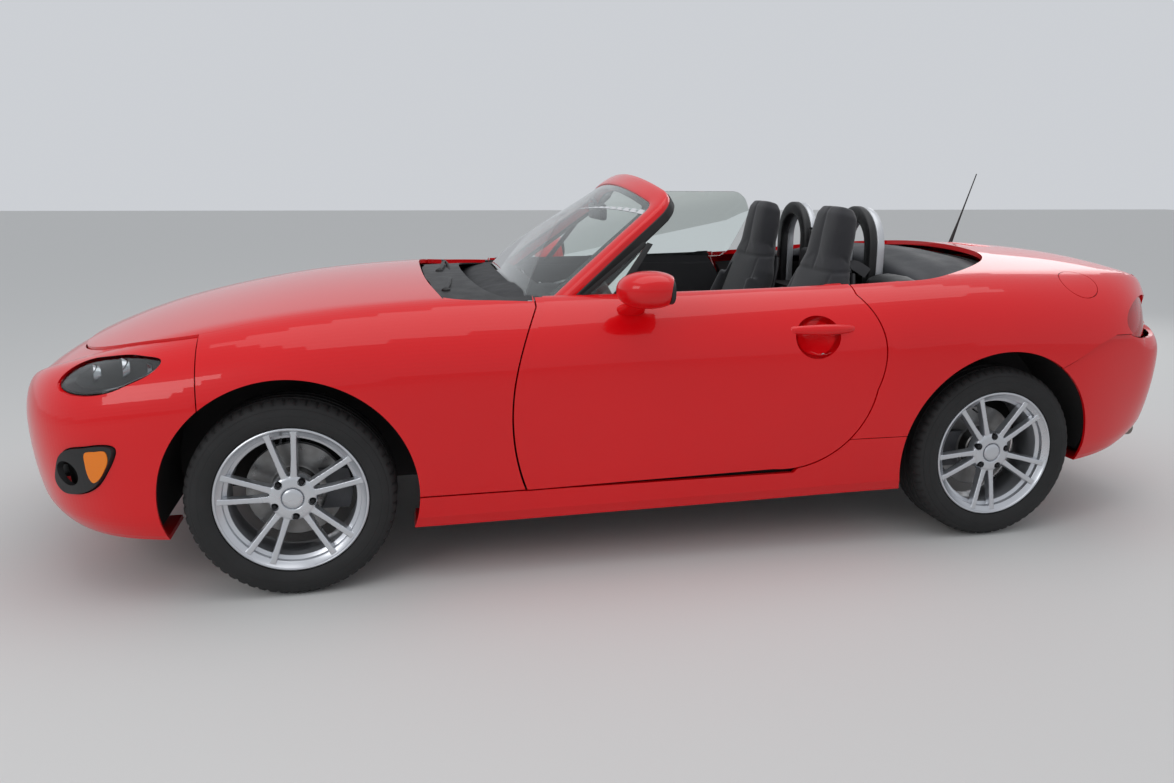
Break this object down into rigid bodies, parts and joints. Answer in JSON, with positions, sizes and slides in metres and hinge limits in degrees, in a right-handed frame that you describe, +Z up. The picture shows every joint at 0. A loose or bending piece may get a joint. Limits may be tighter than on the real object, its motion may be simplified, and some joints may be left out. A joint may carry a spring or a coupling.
{
  "type": "two-seat open roadster car",
  "caption": "Low two-seat open car with rounded body, folded soft top behind the seats, opening doors, bonnet, boot and fuel lids, steered front wheels",
  "frame": {"origin": "on the ground under the middle of the car", "axes": "nose towards -X, left side of the car towards -Y, +Z up"},
  "size_m": [4.04, 1.984, 1.2424],
  "materials": {
    "red_paint": "gloss solid red with clear coat",
    "lamp_glass": "clear moulded lamp cover",
    "red_lens": "red moulded lamp lens",
    "black_plastic": "grained black moulding",
    "clear_glass": "safety glass, faint green",
    "dark_underbody": "dark sealed underbody paint",
    "cast_arms": "cast and pressed steel",
    "exhaust_steel": "stainless steel",
    "engine_alloy": "plain block",
    "cabin_plastic": "soft black cabin moulding",
    "seat_cloth": "black woven cloth",
    "hoop_plastic": "black front, silver behind",
    "top_vinyl": "grained black vinyl",
    "alloy": "silver painted cast alloy",
    "tyre_rubber": "black rubber"
  },
  "bodies": {
    "root": {"headlamps": "lamp_glass", "tail_lamps": "red_lens", "fog_bezels": "black_plastic", "front_bumper": "red_paint", "grille": "black_plastic", "plate_bracket": "black_plastic", "wing_left": "red_paint", "wing_right": "red_paint", "sills": "red_paint", "rear_bumper": "red_paint", "rear_deck": "red_paint", "quarter_left": "red_paint", "quarter_right": "red_paint", "cowl_panel": "black_plastic", "windscreen_frame": "red_paint", "windscreen_glass": "clear_glass", "front_structure": "dark_underbody", "floor_pan": "dark_underbody", "rear_structure": "dark_underbody", "front_suspension": "cast_arms", "rear_suspension": "cast_arms", "exhaust": "exhaust_steel", "engine_block": "engine_alloy", "dashboard": "cabin_plastic", "centre_console": "cabin_plastic", "seat_left": "seat_cloth", "seat_right": "seat_cloth", "roll_hoops": "hoop_plastic", "rear_trim": "cabin_plastic", "soft_top": "top_vinyl", "antenna": "black_plastic"},
    "bonnet": {"bonnet": "red_paint"},
    "boot_lid": {"boot_lid": "red_paint", "brake_lamp": "red_paint"},
    "fuel_lid": {"fuel_lid": "red_paint"},
    "door_left": {"door_left": "red_paint", "mirror_left": "red_paint", "door_glass_left": "clear_glass"},
    "door_right": {"door_right": "red_paint", "mirror_right": "red_paint", "door_glass_right": "clear_glass"},
    "steering_wheel": {"steering_wheel": "cabin_plastic"},
    "knuckle_fl": {"knuckle_fl": "cast_arms"},
    "knuckle_fr": {"knuckle_fr": "cast_arms"},
    "wheel_fl": {"wheel_fl": "alloy", "tyre_fl": "tyre_rubber"},
    "wheel_fr": {"wheel_fr": "alloy", "tyre_fr": "tyre_rubber"},
    "wheel_rl": {"wheel_rl": "alloy", "tyre_rl": "tyre_rubber"},
    "wheel_rr": {"wheel_rr": "alloy", "tyre_rr": "tyre_rubber"}
  },
  "joints": [
    {"name": "door_left_hinge", "type": "hinge", "parent": "root", "child": "door_left", "pos_m": [-0.43, -0.824, 0.55], "axis": [0, 0, -1], "range_deg": [0, 68]},
    {"name": "door_right_hinge", "type": "hinge", "parent": "root", "child": "door_right", "pos_m": [-0.43, 0.824, 0.55], "axis": [0, 0, 1], "range_deg": [0, 68]},
    {"name": "bonnet_hinge", "type": "hinge", "parent": "root", "child": "bonnet", "pos_m": [-0.712, 0, 0.852], "axis": [0, 1, 0], "range_deg": [0, 50]},
    {"name": "boot_lid_hinge", "type": "hinge", "parent": "root", "child": "boot_lid", "pos_m": [1.378, 0, 0.949], "axis": [0, -1, 0], "range_deg": [0, 70]},
    {"name": "fuel_lid_hinge", "type": "hinge", "parent": "root", "child": "fuel_lid", "pos_m": [1.413, -0.7375, 0.8701], "axis": [0, -0.7848, -0.6198], "range_deg": [0, 75]},
    {"name": "steer_left", "type": "hinge", "parent": "root", "child": "knuckle_fl", "pos_m": [-1.175, -0.665, 0.302], "axis": [0, 0, 1], "range_deg": [-33, 33]},
    {"name": "steer_right", "type": "hinge", "parent": "root", "child": "knuckle_fr", "pos_m": [-1.175, 0.665, 0.302], "axis": [0, 0, 1], "range_deg": [-33, 33]},
    {"name": "steering_column", "type": "hinge", "parent": "root", "child": "steering_wheel", "pos_m": [-0.11, -0.355, 0.745], "axis": [0.9135, 0, 0.4067], "range_deg": [-495, 495]},
    {"name": "wheel_fl_spin", "type": "hinge", "parent": "knuckle_fl", "child": "wheel_fl", "pos_m": [-1.175, -0.745, 0.302], "axis": [0, 1, 0], "continuous": true},
    {"name": "wheel_fr_spin", "type": "hinge", "parent": "knuckle_fr", "child": "wheel_fr", "pos_m": [-1.175, 0.745, 0.302], "axis": [0, 1, 0], "continuous": true},
    {"name": "wheel_rl_spin", "type": "hinge", "parent": "root", "child": "wheel_rl", "pos_m": [1.155, -0.745, 0.302], "axis": [0, 1, 0], "continuous": true},
    {"name": "wheel_rr_spin", "type": "hinge", "parent": "root", "child": "wheel_rr", "pos_m": [1.155, 0.745, 0.302], "axis": [0, 1, 0], "continuous": true}
  ],
  "couplings": [
    {"joint": "steer_right", "follows": "steer_left", "ratio": 1},
    {"joint": "steering_column", "follows": "steer_left", "ratio": 15}
  ]
}
